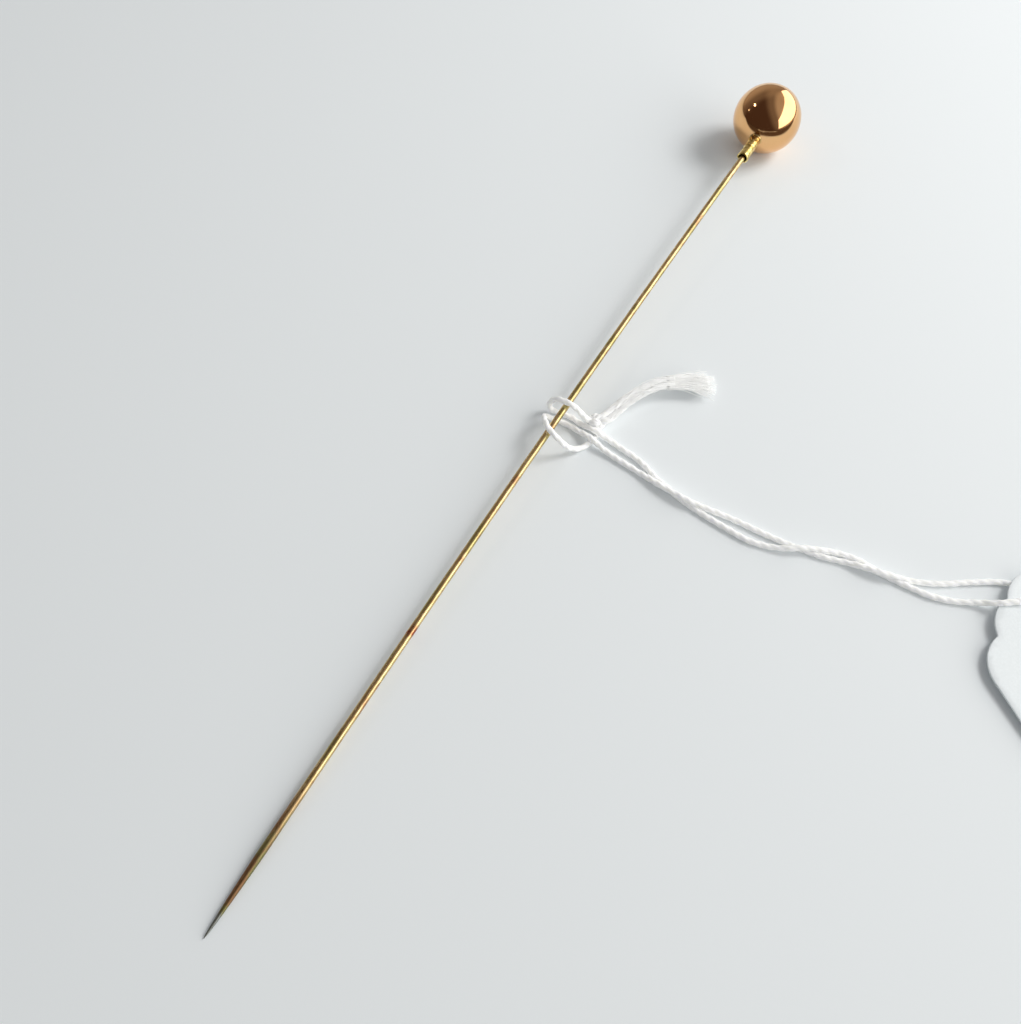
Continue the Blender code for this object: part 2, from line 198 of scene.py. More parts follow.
def ramp(tree, value, low, high, to_low=0.0, to_high=1.0):
    """A smooth step from to_low to to_high as the value goes from low to high."""
    made = tree.nodes.new("ShaderNodeMapRange")
    made.interpolation_type = "SMOOTHSTEP"
    plug(tree, made, "Value", value)
    made.inputs["From Min"].default_value = low
    made.inputs["From Max"].default_value = high
    made.inputs["To Min"].default_value = to_low
    made.inputs["To Max"].default_value = to_high
    return made.outputs["Result"]


def mix_colour(tree, share, first, second):
    """A colour this share of the way from the first to the second."""
    made = tree.nodes.new("ShaderNodeMix")
    made.data_type = "RGBA"
    plug(tree, made, "0", share)
    # Inputs 6 and 7 and output 2 are the node's sockets for colours.
    for index, value in ((6, first), (7, second)):
        if isinstance(value, bpy.types.NodeSocket):
            tree.links.new(value, made.inputs[index])
        else:
            made.inputs[index].default_value = (*value, 1.0)
    return made.outputs[2]


def direction(azimuth, elevation):
    """The unit vector toward an azimuth and an elevation in degrees."""
    a, e = math.radians(azimuth), math.radians(elevation)
    return (math.cos(a) * math.cos(e), math.sin(a) * math.cos(e), math.sin(e))


def glow(tree, toward, azimuth, elevation, low, high, strength):
    """A soft patch of the room's light round a direction, by the cosine of the angle from it."""
    near = vector_maths(tree, "DOT_PRODUCT", toward, direction(azimuth, elevation))
    return ramp(tree, near, low, high, 0.0, strength)


def make_world():
    """Even fill for the matt surfaces, and a dim room with one lit wall for the polished ones."""
    world = bpy.data.worlds.new("studio")
    bpy.context.scene.world = world
    world.use_nodes = True
    tree = world.node_tree
    tree.nodes.clear()
    toward = node(tree, "ShaderNodeTexCoord").outputs["Generated"]
    lit = None
    for patch in ROOM_GLOWS:
        here = glow(tree, toward, *patch)
        lit = here if lit is None else maths(tree, "ADD", lit, here)
    walls = node(tree, "ShaderNodeBackground", Color=(1.0, 0.93, 0.86, 1.0), Strength=lit)
    dim = node(tree, "ShaderNodeBackground", Color=(1.0, 0.60, 0.46, 1.0), Strength=ROOM_DARK)
    room = tree.nodes.new("ShaderNodeAddShader")
    tree.links.new(walls.outputs[0], room.inputs[0])
    tree.links.new(dim.outputs[0], room.inputs[1])
    fill = node(tree, "ShaderNodeBackground", Color=(0.985, 0.99, 1.0, 1.0), Strength=FILL)
    seen = node(tree, "ShaderNodeBackground", Color=(0.80, 0.84, 0.86, 1.0), Strength=1.0)
    path = tree.nodes.new("ShaderNodeLightPath")
    first = tree.nodes.new("ShaderNodeMixShader")
    tree.links.new(path.outputs["Is Glossy Ray"], first.inputs[0])
    tree.links.new(fill.outputs[0], first.inputs[1])
    tree.links.new(room.outputs[0], first.inputs[2])
    second = tree.nodes.new("ShaderNodeMixShader")
    tree.links.new(path.outputs["Is Camera Ray"], second.inputs[0])
    tree.links.new(first.outputs[0], second.inputs[1])
    tree.links.new(seen.outputs[0], second.inputs[2])
    out = tree.nodes.new("ShaderNodeOutputWorld")
    tree.links.new(second.outputs[0], out.inputs["Surface"])


def area_light(name, place, target, width, height, watts, colour):
    data = bpy.data.lights.new(name, "AREA")
    data.shape = "RECTANGLE"
    data.size = width
    data.size_y = height
    data.energy = watts
    data.color = colour
    lamp = bpy.data.objects.new(name, data)
    bpy.context.scene.collection.objects.link(lamp)
    lamp.location = place
    aim = Vector(target) - Vector(place)
    lamp.rotation_euler = aim.to_track_quat("-Z", "Y").to_euler()
    return lamp


# The fill's strength, the unlit room's, and its lit patches: each one's azimuth and elevation, the
# cosines where it starts and is full, and its strength.
FILL = 0.29
ROOM_DARK = 0.065
ROOM_GLOWS = [
    (42, 5, 0.25, 0.70, 0.11),
    (45, 0, 0.66, 1.0, 0.24),
    (-60, 30, 0.15, 0.50, 0.12),
    (-60, 30, 0.56, 0.80, 0.27),
]

# Each lamp's name, azimuth and elevation from the ball, width and height.
LAMPS = [("lamp_high", 106, 42, 0.15, 0.045), ("lamp_low", 111, 22, 0.035, 0.03)]
LAMP_RADIANCE = 16.0
LAMP_DISTANCE = 1.2
LAMP_COLOUR = (1.0, 0.94, 0.85)
BALL_X = 0.08
WINDOW_AZIMUTH = -60.0
WINDOW_DISTANCE = 0.9
WINDOW_WIDTH = 3.0
WINDOW_HEIGHT = 0.92
WINDOW_RADIANCE = 2.1
WINDOW_SILL = 0.09
WINDOW_COLOUR = (1.0, 0.99, 0.95)
DAYLIGHT_TARGET = (0.10, -0.05, 0.0)
DAYLIGHT_FROM = (-44.0, 50.0)
DAYLIGHT_DISTANCE = 0.5
DAYLIGHT_SIZE = (0.21, 0.18)
DAYLIGHT_WATTS = 1.3
DAYLIGHT_COLOUR = (1.0, 0.99, 0.975)


def watts_for(radiance, width, height):
    """The power of a one-sided area light: one watt from one square metre is 1 / pi."""
    return radiance * math.pi * width * height


def make_window():
    """The tall band of light on the ball, to the camera's right."""
    turn = math.radians(WINDOW_AZIMUTH)
    middle = WINDOW_SILL + WINDOW_HEIGHT / 2
    across = WINDOW_DISTANCE * math.cos(turn)
    place = (BALL_X + across, WINDOW_DISTANCE * math.sin(turn), middle)
    watts = watts_for(WINDOW_RADIANCE, WINDOW_WIDTH, WINDOW_HEIGHT)
    size = (WINDOW_WIDTH, WINDOW_HEIGHT)
    area_light("window", place, (BALL_X, 0.0, middle), *size, watts, WINDOW_COLOUR)


def make_daylight():
    """Soft light over the card's side of the floor, which the polished metal doesn't mirror."""
    target = Vector(DAYLIGHT_TARGET)
    place = target + Vector(direction(*DAYLIGHT_FROM)) * DAYLIGHT_DISTANCE
    day = area_light(
        "daylight", place, target, *DAYLIGHT_SIZE, DAYLIGHT_WATTS, DAYLIGHT_COLOUR
    )
    day.visible_glossy = False


def make_lamps():
    """Two small lamps on the left, which give the ball its glints."""
    ball = Vector((BALL_X, 0.0, 0.0))
    for name, azimuth, elevation, wide, high in LAMPS:
        away = Vector(direction(azimuth, elevation)) * LAMP_DISTANCE
        watts = watts_for(LAMP_RADIANCE, wide, high)
        area_light(name, ball + away, ball, wide, high, watts, LAMP_COLOUR)


# The floor's half width, and how far it lies under the object. Its far reflections carry a painted
# shade from the first to the second distance: by the place's distance from the ball toward the
# camera, and by the length of the mirrored ray.
FLOOR_HALF_WIDTH = 4.0
FLOOR_DROP = 0.00003
SHADE_FROM_BALL = (0.016, 0.026)
SHADE_RAY_LENGTH = (0.017, 0.024)
FLOOR_COLOUR = (0.86, 0.895, 0.915)
REFLECTED_SHADE_COLOUR = (0.10, 0.07, 0.055)


def make_floor():
    """Pale paint, with a painted shade on its part toward the camera that shows only in the
    polished ball's reflections.
    """
    mesh = bpy.data.meshes.new("floor")
    shape = bmesh.new()
    bmesh.ops.create_grid(shape, x_segments=2, y_segments=2, size=FLOOR_HALF_WIDTH)
    shape.to_mesh(mesh)
    shape.free()
    floor = bpy.data.objects.new("floor", mesh)
    floor.location = (0, 0, -FLOOR_DROP)
    bpy.context.scene.collection.objects.link(floor)
    finish, tree, shader = new_material("floor_paint")
    place = node(tree, "ShaderNodeNewGeometry").outputs["Position"]
    ahead = vector_maths(tree, "SUBTRACT", place, (HEAD_CENTRE_X * MM, 0, 0))
    toward = Vector((-CAMERA_UP[0], -CAMERA_UP[1], 0)).normalized()
    near = ramp(tree, vector_maths(tree, "DOT_PRODUCT", ahead, toward), *SHADE_FROM_BALL)
    path = node(tree, "ShaderNodeLightPath")
    far = ramp(tree, path.outputs["Ray Length"], *SHADE_RAY_LENGTH)
    both = maths(tree, "MULTIPLY", near, far)
    # Painted shade: glossy rays that reach the floor far from the ball, toward the camera, see it
    # dark.
    painted_shade = maths(tree, "MULTIPLY", both, path.outputs["Is Glossy Ray"])
    colour = mix_colour(tree, painted_shade, FLOOR_COLOUR, REFLECTED_SHADE_COLOUR)
    tree.links.new(colour, shader.inputs["Base Color"])
    shader.inputs["Roughness"].default_value = 0.75
    shader.inputs["Specular IOR Level"].default_value = 0.0
    mesh.materials.append(finish)


# ---------------------------------------------------------------- materials


def new_material(name):
    """A material with its node tree and its Principled shader."""
    made = bpy.data.materials.new(name)
    made.use_nodes = True
    return made, made.node_tree, made.node_tree.nodes["Principled BSDF"]


def local_noise(tree, per_mm, detail=2.0, stretch=(1, 1, 1), coords=None):
    """Noise with its scale as bumps per millimetre, over the piece's own coordinates or others."""
    if coords is None:
        coords = node(tree, "ShaderNodeTexCoord").outputs["Object"]
        per_mm = per_mm / MM
    scaled = tree.nodes.new("ShaderNodeMapping")
    tree.links.new(coords, scaled.inputs["Vector"])
    scaled.inputs["Scale"].default_value = [per_mm * s for s in stretch]
    made = node(tree, "ShaderNodeTexNoise", Vector=scaled.outputs[0], Scale=1.0, Detail=detail)
    return made.outputs["Fac"]


def add_bump(tree, shader, height, strength, depth_mm):
    """Fine relief on a shader, as deep as depth_mm at full strength."""
    made = node(tree, "ShaderNodeBump", Height=height, Strength=strength, Distance=depth_mm * MM)
    tree.links.new(made.outputs["Normal"], shader.inputs["Normal"])


def rose_gold():
    """Highly polished, with faint wiping marks and a slightly redder tone in patches."""
    finish, tree, shader = new_material("rose_gold_polished")
    patches = local_noise(tree, 0.25, 3)
    colour = mix_colour(
        tree, ramp(tree, patches, 0.35, 0.7), (0.86, 0.515, 0.245), (0.83, 0.48, 0.22)
    )
    tree.links.new(colour, shader.inputs["Base Color"])
    smears = local_noise(tree, 0.9, 4, (1, 0.3, 1))
    tree.links.new(ramp(tree, smears, 0.35, 0.8, 0.07, 0.13), shader.inputs["Roughness"])
    shader.inputs["Metallic"].default_value = 1.0
    add_bump(tree, shader, local_noise(tree, 6.0, 3, (1, 0.15, 1)), 0.10, 0.004)
    return finish


def yellow_gold():
    """The collar: brighter yellow gold, hammered, darker in its hollows."""
    finish, tree, shader = new_material("yellow_gold_hammered")
    hollows = local_noise(tree, 1.6, 4)
    colour = mix_colour(
        tree, ramp(tree, hollows, 0.32, 0.62), (0.52, 0.38, 0.10), (0.95, 0.76, 0.32)
    )
    tree.links.new(colour, shader.inputs["Base Color"])
    tree.links.new(ramp(tree, hollows, 0.3, 0.7, 0.34, 0.14), shader.inputs["Roughness"])
    shader.inputs["Metallic"].default_value = 1.0
    add_bump(tree, shader, local_noise(tree, 3.5, 3), 0.5, 0.03)
    return finish


# Distances from the point along the stem: the middle of a rust-red band, and the two places
# between which the gilding goes dull, and then bare.
RUST_BAND = 47.7
DULL_BETWEEN = (34.0, 17.0)
BARE_BETWEEN = (5.4, 4.2)


def gilt_steel():
    """Worn gilding: olive and reddish mottling, a rust-red band, a dull brown stretch before the
    point, and bare steel at the point itself."""
    finish, tree, shader = new_material("gilt_steel_worn")
    station = node(tree, "ShaderNodeAttribute")
    station.attribute_name = "station"
    along = station.outputs["Fac"]
    mottle = local_noise(tree, 0.60, 4, (0.40, 1, 1))
    fine = local_noise(tree, 2.6, 3, (0.35, 1, 1))
    red = local_noise(tree, 0.9, 3, (0.35, 1, 1))
    gold = mix_colour(tree, ramp(tree, fine, 0.35, 0.7), (0.70, 0.52, 0.25), (0.82, 0.65, 0.36))
    olive = mix_colour(tree, ramp(tree, mottle, 0.50, 0.64), gold, (0.52, 0.44, 0.19))
    brown = mix_colour(tree, ramp(tree, red, 0.55, 0.70), olive, (0.52, 0.31, 0.16))
    patches = ramp(tree, mottle, 0.44, 0.58)
    worn = mix_colour(tree, patches, (0.27, 0.155, 0.08), (0.23, 0.215, 0.09))
    wavy = maths(tree, "ADD", along, maths(tree, "MULTIPLY", mottle, 14.0))
    dull = ramp(tree, wavy, *DULL_BETWEEN)
    tarnished = mix_colour(tree, dull, brown, worn)
    offset = maths(tree, "ABSOLUTE", maths(tree, "SUBTRACT", along, RUST_BAND))
    band = maths(tree, "MULTIPLY", ramp(tree, offset, 1.5, 0.2), ramp(tree, fine, 0.3, 0.6))
    banded = mix_colour(tree, band, tarnished, (0.40, 0.10, 0.05))
    ragged = maths(tree, "ADD", along, maths(tree, "MULTIPLY", fine, 3.0))
    bare = ramp(tree, ragged, *BARE_BETWEEN)
    tipped = mix_colour(tree, bare, banded, (0.25, 0.27, 0.25))
    tree.links.new(tipped, shader.inputs["Base Color"])
    rough = ramp(tree, fine, 0.3, 0.75, 0.19, 0.30)
    rough = maths(tree, "ADD", rough, maths(tree, "MULTIPLY", dull, 0.24))
    tree.links.new(rough, shader.inputs["Roughness"])
    shader.inputs["Metallic"].default_value = 1.0
    add_bump(tree, shader, local_noise(tree, 5.0, 3, (0.12, 1, 1)), 0.28, 0.012)
    return finish


def solder():
    """Dull gilt solder with a fine grain."""
    finish, tree, shader = new_material("solder_gilt")
    grain = local_noise(tree, 2.0, 4)
    colour = mix_colour(tree, ramp(tree, grain, 0.35, 0.7), (0.50, 0.36, 0.14), (0.80, 0.62, 0.30))
    tree.links.new(colour, shader.inputs["Base Color"])
    tree.links.new(ramp(tree, grain, 0.3, 0.7, 0.42, 0.22), shader.inputs["Roughness"])
    shader.inputs["Metallic"].default_value = 1.0
    add_bump(tree, shader, grain, 0.4, 0.04)
    return finish


def cotton():
    """Bleached cotton: matt, with fine fibres that run along each ply."""
    finish, tree, shader = new_material("cotton_two_ply")
    lay = node(tree, "ShaderNodeAttribute")
    lay.attribute_name = "lay"
    fibres = local_noise(tree, 1.0, 3, (7.0, 7.0, 2.2), lay.outputs["Vector"])
    slubs = local_noise(tree, 1.0, 2, (0.8, 0.8, 0.9), lay.outputs["Vector"])
    colour = mix_colour(
        tree, ramp(tree, fibres, 0.3, 0.65), (0.955, 0.96, 0.95), (0.99, 0.99, 0.985)
    )
    colour = mix_colour(tree, ramp(tree, slubs, 0.5, 0.8, 0.0, 0.25), colour, (0.94, 0.935, 0.905))
    tree.links.new(colour, shader.inputs["Base Color"])
    shader.inputs["Roughness"].default_value = 0.85
    shader.inputs["Specular IOR Level"].default_value = 0.2
    shader.inputs["Sheen Weight"].default_value = 0.25
    shader.inputs["Sheen Roughness"].default_value = 0.5
    shader.inputs["Subsurface Weight"].default_value = 0.35
    shader.inputs["Subsurface Radius"].default_value = (0.0007, 0.0007, 0.0006)
    shader.inputs["Subsurface Scale"].default_value = 1.0
    # Light that passes from fibre to fibre, which the plain tubes would shade.
    shader.inputs["Emission Color"].default_value = (1.0, 1.0, 0.98, 1.0)
    shader.inputs["Emission Strength"].default_value = 0.07
    add_bump(tree, shader, fibres, 0.45, 0.03)
    return finish


def card_stock():
    """Smooth white card with a faint felt of paper fibres."""
    finish, tree, shader = new_material("card_stock_white")
    felt = local_noise(tree, 3.0, 5)
    cloud = local_noise(tree, 0.12, 3)
    colour = mix_colour(
        tree, ramp(tree, felt, 0.35, 0.7), (0.885, 0.93, 0.95), (0.92, 0.965, 0.985)
    )
    colour = mix_colour(tree, ramp(tree, cloud, 0.4, 0.8, 0.0, 0.3), colour, (0.91, 0.93, 0.935))
    tree.links.new(colour, shader.inputs["Base Color"])
    shader.inputs["Roughness"].default_value = 0.6
    shader.inputs["Specular IOR Level"].default_value = 0.35
    add_bump(tree, shader, felt, 0.2, 0.012)
    return finish


# ---------------------------------------------------------------- mesh helpers


def make_object(name, points, faces, finish, attributes=None, floats=None):
    """A mesh object from points in millimetres, with optional vector and float attributes."""
    mesh = bpy.data.meshes.new(name)
    mesh.from_pydata([tuple(p) for p in np.asarray(points, float) * MM], [], faces)
    mesh.update()
    for label, values in (attributes or {}).items():
        layer = mesh.attributes.new(label, "FLOAT_VECTOR", "POINT")
        layer.data.foreach_set("vector", np.asarray(values, np.float32).ravel())
    for label, values in (floats or {}).items():
        layer = mesh.attributes.new(label, "FLOAT", "POINT")
        layer.data.foreach_set("value", np.asarray(values, np.float32).ravel())
    mesh.shade_smooth()
    mesh.materials.append(finish)
    obj = bpy.data.objects.new(name, mesh)
    bpy.context.scene.collection.objects.link(obj)
    return obj


def settle(obj, body, node_name):
    """Puts a finished piece on its body, in place of the CAD node that it stands for."""
    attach(obj, body)
    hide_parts(node_name)
    return obj


def lathe(outline, segments, closed, shape=None):
    """Points and faces of an (r, z) outline swept round Z. shape moves each point."""
    points, rings = [], []
    for index, (r, z) in enumerate(outline):
        if r <= 0:
            rings.append([len(points)])
            points.append((0, 0, z))
            continue
        ring = []
        for step in range(segments):
            turn = math.tau * step / segments
            radius, height = shape(index, r, z, turn) if shape else (r, z)
            ring.append(len(points))
            points.append((radius * math.cos(turn), radius * math.sin(turn), height))
        rings.append(ring)
    pairs = list(zip(rings, rings[1:]))
    if closed:
        pairs.append((rings[-1], rings[0]))
    faces = []
    for first, second in pairs:
        for step in range(segments):
            after = (step + 1) % segments
            if len(first) == 1 and len(second) > 1:
                faces.append((first[0], second[step], second[after]))
            elif len(second) == 1 and len(first) > 1:
                faces.append((first[step], second[0], first[after]))
            elif len(first) > 1:
                faces.append((first[step], second[step], second[after], first[after]))
    return points, faces


SHARP_ANGLE = math.radians(50)


def outward(obj):
    """Turns every face outward, and keeps the sharp edges sharp."""
    shape = bmesh.new()
    shape.from_mesh(obj.data)
    bmesh.ops.recalc_face_normals(shape, faces=shape.faces)
    shape.to_mesh(obj.data)
    shape.free()
    obj.data.set_sharp_from_angle(angle=SHARP_ANGLE)
    return obj


def on_axis(points, side, turn):
    """Points as the object lies, from the pin's own frame, whose +Z runs from point to head."""
    place = Matrix.Translation((HEAD_CENTRE_X, side, HEAD_RADIUS))
    spin = Euler((-turn, math.pi / 2 - PIN_LEAN, 0)).to_matrix().to_4x4()
    both = np.array(place @ spin)
    return np.asarray(points, float) @ both[:3, :3].T + both[:3, 3]


# ---------------------------------------------------------------- the pin


def dented(scale, depth, seed):
    """A gentle unevenness of a turned surface: a change of radius by place."""

    def change(r, z, turn):
        place = Vector((r * math.cos(turn), r * math.sin(turn), z)) * scale
        return depth * noise.noise(place + Vector((seed, seed, seed)))

    return change


def shell(name, low, high, node_name, hole):
    """One half of the hollow ball, from the angle low to high above its equator. The lower half has
    a hole of this radius for the collar, and the upper one none."""
    steps = 56
    dent = dented(0.45, 0.012, 3.0)
    outer = [low + (high - low) * step / steps for step in range(steps + 1)]
    inner_radius = HEAD_RADIUS - HEAD_WALL
    inner_low = -math.acos(hole / inner_radius) if hole else low
    inner = [high + (inner_low - high) * step / 12 for step in range(13)]
    outline = [(HEAD_RADIUS * math.cos(a), HEAD_RADIUS * math.sin(a)) for a in outer]
    outline += [(inner_radius * math.cos(a), inner_radius * math.sin(a)) for a in inner]
    if not hole:
        outline[steps] = (0, HEAD_RADIUS)
        outline[steps + 1] = (0, inner_radius)

    def shape(index, r, z, turn):
        if index > steps:
            return r, z
        grown = 1 + dent(r, z, turn) / HEAD_RADIUS
        return r * grown, z * grown

    points, faces = lathe(outline, 128, True, shape)
    obj = make_object(name, on_axis(points, 0, HEAD_TURN), faces, MATERIALS["rose"])
    outward(obj)
    return settle(obj, "pin", node_name)


def make_head():
    """The ball's two half shells."""
    hole = COLLAR_RADIUS + 0.07
    shell("ball_upper", 0.0, math.pi / 2, "head_shell_upper", None)
    shell("ball_lower", -math.acos(hole / HEAD_RADIUS), 0.0, "head_shell_lower", hole)


def make_collar():
    """A short tube with a hammered skin and a rolled, slightly flared mouth."""
    rows = 90
    top, bottom = -COLLAR_INNER_END, -COLLAR_MOUTH
    outer = []
    for step in range(rows + 1):
        z = top + (bottom - top) * step / rows
        flare = 0.05 * math.exp(-(((z - bottom) / 0.45) ** 2))
        edge = max(0.0, 1 - (z - bottom) / 0.12)
        outer.append((COLLAR_RADIUS + flare - 0.07 * edge**2, z))
    lip = [(0.97, bottom - 0.012), (0.93, bottom - 0.012), (0.875, bottom + 0.01)]
    bore = [(COLLAR_BORE_RADIUS + 0.01, bottom + 0.06)]
    bore += [(COLLAR_BORE_RADIUS, z) for z in (bottom + 0.3, bottom + 2.0, top)]
    outline = outer + lip + bore

    def shape(index, r, z, turn):
        if index > rows:
            return r, z
        place = Vector((math.cos(turn) * 1.4, math.sin(turn) * 1.4, z * 1.25))
        bumps = noise.noise(place) + 0.45 * noise.noise(place * 2.3 + Vector((7, 1, 4)))
        return r + 0.055 * bumps - 0.012, z

    points, faces = lathe(outline, 72, True, shape)
    placed = on_axis(points, COLLAR_OFFSET, 0)
    obj = outward(make_object("collar_tube", placed, faces, MATERIALS["yellow"]))
    return settle(obj, "pin", "collar")


def make_fillet():
    """The solder that runs up round the collar's root, drawn a little smaller than the CAD's."""
    inside = COLLAR_RADIUS + 0.035
    seat = HEAD_RADIUS + 0.01
    steps = 14
    reach, height = FILLET_REACH - 0.11, FILLET_HEIGHT - 0.22
    bed = [inside + (reach - inside) * step / 6 for step in range(7)]
    outline = [(r, -math.sqrt(seat**2 - r**2)) for r in bed]
    rim_z = outline[-1][1]
    drop = -HEAD_RADIUS - height
    for step in range(1, steps + 1):
        share = step / steps
        curve = (1 - share) ** 2.2
        r = inside + 0.01 + (reach - inside - 0.01) * curve
        outline.append((r, rim_z + (drop - rim_z) * share))

    def shape(index, r, z, turn):
        place = Vector((math.cos(turn), math.sin(turn), z)) * 1.6
        return r + 0.03 * noise.noise(place) * (index > 6), z

    points, faces = lathe(outline, 64, True, shape)
    obj = outward(
        make_object("collar_solder", on_axis(points, 0, HEAD_TURN), faces, MATERIALS["solder"])
    )
    return settle(obj, "pin", "head_solder")


def stem_radius(from_point):
    """The wire's radius at a distance from its point, thinner where it is ground."""
    if from_point >= POINT_TAPER_LENGTH:
        return STEM_RADIUS
    share = (from_point / POINT_TAPER_LENGTH) ** POINT_TAPER_POWER
    return max(POINT_RADIUS, STEM_RADIUS * share)


def stem_side(station):
    """How far the slightly bowed wire lies beside the straight line to the collar."""
    share = min(station / (POINT_TO_HEAD_CENTRE - COLLAR_MOUTH), 1.0)
    bow = STEM_BOW * math.sin(math.pi * share)
    return bow + COLLAR_OFFSET * (share**STEM_SWEEP - 1)


def make_stem():
    """Drawn wire, never quite even, ground by hand to its point."""
    end = POINT_TO_HEAD_CENTRE - STEM_END_IN_HEAD
    taper = [POINT_TAPER_LENGTH * (step / 40) ** 2 for step in range(40)]
    rows = 420
    wire = [
        POINT_TAPER_LENGTH + (end - POINT_TAPER_LENGTH) * step / rows for step in range(rows + 1)
    ]
    sides = 24
    points, faces, stations = [], [], []
    for row, station in enumerate(taper + wire):
        radius = stem_radius(station)
        z = station - POINT_TO_HEAD_CENTRE
        for step in range(sides):
            turn = math.tau * step / sides
            place = Vector((math.cos(turn) * 0.7, math.sin(turn) * 0.7, station * 0.42))
            uneven = 0.018 * noise.noise(place) + 0.006 * noise.noise(place * 3.1)
            r = radius * (1 + uneven)
            points.append((r * math.cos(turn), stem_side(station) + r * math.sin(turn), z))
            stations.append(station)
        if row:
            for step in range(sides):
                after = (step + 1) % sides
                low, high = (row - 1) * sides, row * sides
                faces.append((low + step, low + after, high + after, high + step))
    faces.append(tuple(reversed(range(sides))))
    faces.append(tuple(range(len(points) - sides, len(points))))
    placed = on_axis(points, COLLAR_OFFSET, 0)
    obj = make_object(
        "stem_wire", placed, faces, MATERIALS["gilt"], floats={"station": stations}
    )
    return settle(outward(obj), "pin", "stem")


# ---------------------------------------------------------------- the thread


def smooth_route(route, steps=12):
    """Points on a smooth curve through the route's own points."""
    knots = [np.array(point, float) for point in route]
    ends = [2 * knots[0] - knots[1]] + knots + [2 * knots[-1] - knots[-2]]
    points = []
    for before, start, end, after in zip(ends, ends[1:], ends[2:], ends[3:]):
        into, out = (end - before) / 2, (after - start) / 2
        for step in range(steps):
            t = step / steps
            points.append(
                start * (2 * t**3 - 3 * t**2 + 1)
                + into * (t**3 - 2 * t**2 + t)
                + end * (3 * t**2 - 2 * t**3)
                + out * (t**3 - t**2)
            )
    return np.array(points + [knots[-1]])


def lengths(points):
    """The distance along a line to each of its points."""
    steps = np.linalg.norm(np.diff(points, axis=0), axis=1)
    return np.concatenate([[0], np.cumsum(steps)])


def evenly(points, spacing):
    """Points at an even spacing along a line."""
    along = lengths(points)
    count = max(2, int(round(along[-1] / spacing)) + 1)
    at = np.linspace(0, along[-1], count)
    return np.stack([np.interp(at, along, points[:, k]) for k in range(3)], axis=1)


def unit(vector):
    return vector / np.linalg.norm(vector)


def carried_frames(points):
    """Tangents and two normals that don't twist along the line."""
    tangents = np.gradient(points, axis=0)
    tangents /= np.linalg.norm(tangents, axis=1)[:, None]
    side = unit(np.cross(tangents[0], (0.31, 0.12, 0.94)))
    firsts, seconds = [], []
    for tangent in tangents:
        side = unit(side - tangent * np.dot(side, tangent))
        firsts.append(side)
        seconds.append(np.cross(tangent, side))
    return tangents, np.array(firsts), np.array(seconds)


# The cotton is fluffier than the CAD's tube, which stands for its firm core.
VISUAL_RADIUS = 0.50
THREAD_PITCH = 3.4
RING_SPACING = 0.13

# The section of two plies, as shares of the thread's radius: each ply's radius and its distance
# from the middle, and how far the fluff rounds the section off.
PLY_RADIUS = 0.58
PLY_OFFSET = 0.42
ROUND_RADIUS = 0.97
ROUND_SHARE = 0.68


